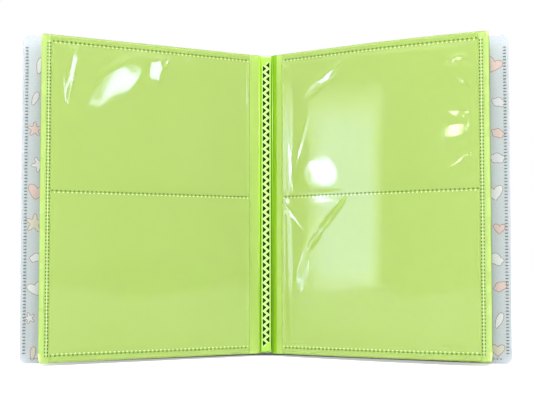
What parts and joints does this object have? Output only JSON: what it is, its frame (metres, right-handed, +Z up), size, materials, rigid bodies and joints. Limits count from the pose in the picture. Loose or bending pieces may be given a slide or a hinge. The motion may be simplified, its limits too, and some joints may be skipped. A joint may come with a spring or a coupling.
{
  "type": "photo card album",
  "caption": "Soft-cover photo card album with clear pocket leaves welded to sheets, standing open in a V; covers close and leaves turn.",
  "frame": {"origin": "on the floor under the middle of the spine, in the middle plane of the spine film", "axes": "+Z up along the spine; +Y out of the back of the spine, so the album opens towards -Y; +X towards the back cover's half"},
  "size_m": [0.2078, 0.0601, 0.14],
  "materials": {
    "cover_film": "soft satin film, pale blue-grey",
    "flap_film": "clear glossy sleeve film",
    "sheet": "smooth lime green film sheet",
    "pocket_film": "clear glossy pocket film",
    "binding": "lime green film, welded"
  },
  "bodies": {
    "spine": {"spine_panel": "cover_film", "end_sheet_middle": "sheet", "leaf_1_middle": "sheet", "leaf_2_middle": "sheet", "binding_seam": "binding"},
    "front_cover": {"front_cover_panel": "cover_film", "front_flap": "flap_film"},
    "front_end_sheet": {"front_end_sheet": "sheet"},
    "back_cover": {"back_cover_panel": "cover_film", "back_flap": "flap_film"},
    "back_end_sheet": {"back_end_sheet": "sheet"},
    "left_leaf_1": {"left_leaf_1_sheet": "sheet", "left_leaf_1_front_film": "pocket_film", "left_leaf_1_back_film": "pocket_film"},
    "left_leaf_2": {"left_leaf_2_sheet": "sheet", "left_leaf_2_front_film": "pocket_film", "left_leaf_2_back_film": "pocket_film"},
    "left_leaf_3": {"left_leaf_3_sheet": "sheet", "left_leaf_3_front_film": "pocket_film", "left_leaf_3_back_film": "pocket_film"},
    "left_leaf_4": {"left_leaf_4_sheet": "sheet", "left_leaf_4_front_film": "pocket_film", "left_leaf_4_back_film": "pocket_film"},
    "left_leaf_5": {"left_leaf_5_sheet": "sheet", "left_leaf_5_front_film": "pocket_film", "left_leaf_5_back_film": "pocket_film"},
    "right_leaf_1": {"right_leaf_1_sheet": "sheet", "right_leaf_1_front_film": "pocket_film", "right_leaf_1_back_film": "pocket_film"},
    "right_leaf_2": {"right_leaf_2_sheet": "sheet", "right_leaf_2_front_film": "pocket_film", "right_leaf_2_back_film": "pocket_film"},
    "right_leaf_3": {"right_leaf_3_sheet": "sheet", "right_leaf_3_front_film": "pocket_film", "right_leaf_3_back_film": "pocket_film"},
    "right_leaf_4": {"right_leaf_4_sheet": "sheet", "right_leaf_4_front_film": "pocket_film", "right_leaf_4_back_film": "pocket_film"},
    "right_leaf_5": {"right_leaf_5_sheet": "sheet", "right_leaf_5_front_film": "pocket_film", "right_leaf_5_back_film": "pocket_film"}
  },
  "joints": [
    {"name": "front_cover_hinge", "type": "hinge", "parent": "spine", "child": "front_cover", "pos_m": [-0.0079, 0, 0], "axis": [0, 0, -1], "range_deg": [-63, 26]},
    {"name": "back_cover_hinge", "type": "hinge", "parent": "spine", "child": "back_cover", "pos_m": [0.0079, 0, 0], "axis": [0, 0, 1], "range_deg": [-63, 26]},
    {"name": "front_end_sheet_slide", "type": "slide", "parent": "front_cover", "child": "front_end_sheet", "axis": [-0.8988, -0.4384, 0], "range_m": [-0.0027, 0.0065]},
    {"name": "back_end_sheet_slide", "type": "slide", "parent": "back_cover", "child": "back_end_sheet", "axis": [0.8988, -0.4384, 0], "range_m": [-0.0027, 0.0065]},
    {"name": "left_leaf_1_swing", "type": "hinge", "parent": "spine", "child": "left_leaf_1", "pos_m": [-0.00639, -0.0027, 0], "axis": [0, 0, -1], "range_deg": [-62.3, 25.7]},
    {"name": "left_leaf_2_swing", "type": "hinge", "parent": "spine", "child": "left_leaf_2", "pos_m": [-0.00547, -0.004, 0], "axis": [0, 0, -1], "range_deg": [-61.6, 25.4]},
    {"name": "left_leaf_3_swing", "type": "hinge", "parent": "spine", "child": "left_leaf_3", "pos_m": [-0.00364, -0.00622, 0], "axis": [0, 0, -1], "range_deg": [-60.8, 25.1]},
    {"name": "left_leaf_4_turn", "type": "hinge", "parent": "left_leaf_3", "child": "left_leaf_4", "pos_m": [-0.00364, -0.00622, 0], "axis": [0, 0, 1], "range_deg": [0, 12]},
    {"name": "left_leaf_5_turn", "type": "hinge", "parent": "left_leaf_4", "child": "left_leaf_5", "pos_m": [-0.00364, -0.00622, 0], "axis": [0, 0, 1], "range_deg": [0, 70]},
    {"name": "right_leaf_1_swing", "type": "hinge", "parent": "spine", "child": "right_leaf_1", "pos_m": [0.00639, -0.0027, 0], "axis": [0, 0, 1], "range_deg": [-62.3, 25.7]},
    {"name": "right_leaf_2_swing", "type": "hinge", "parent": "spine", "child": "right_leaf_2", "pos_m": [0.00547, -0.004, 0], "axis": [0, 0, 1], "range_deg": [-61.6, 25.4]},
    {"name": "right_leaf_3_swing", "type": "hinge", "parent": "spine", "child": "right_leaf_3", "pos_m": [0.00364, -0.00622, 0], "axis": [0, 0, 1], "range_deg": [-60.8, 25.1]},
    {"name": "right_leaf_4_turn", "type": "hinge", "parent": "right_leaf_3", "child": "right_leaf_4", "pos_m": [0.00364, -0.00622, 0], "axis": [0, 0, -1], "range_deg": [0, 12]},
    {"name": "right_leaf_5_turn", "type": "hinge", "parent": "right_leaf_4", "child": "right_leaf_5", "pos_m": [0.00364, -0.00622, 0], "axis": [0, 0, -1], "range_deg": [0, 70]}
  ],
  "couplings": [
    {"joint": "front_end_sheet_slide", "follows": "front_cover_hinge", "m_per_rad": -0.0058},
    {"joint": "back_end_sheet_slide", "follows": "back_cover_hinge", "m_per_rad": -0.0058},
    {"joint": "left_leaf_1_swing", "follows": "front_cover_hinge", "ratio": 0.98809},
    {"joint": "left_leaf_2_swing", "follows": "front_cover_hinge", "ratio": 0.97619},
    {"joint": "left_leaf_3_swing", "follows": "front_cover_hinge", "ratio": 0.96429},
    {"joint": "right_leaf_1_swing", "follows": "back_cover_hinge", "ratio": 0.98809},
    {"joint": "right_leaf_2_swing", "follows": "back_cover_hinge", "ratio": 0.97619},
    {"joint": "right_leaf_3_swing", "follows": "back_cover_hinge", "ratio": 0.96429}
  ]
}
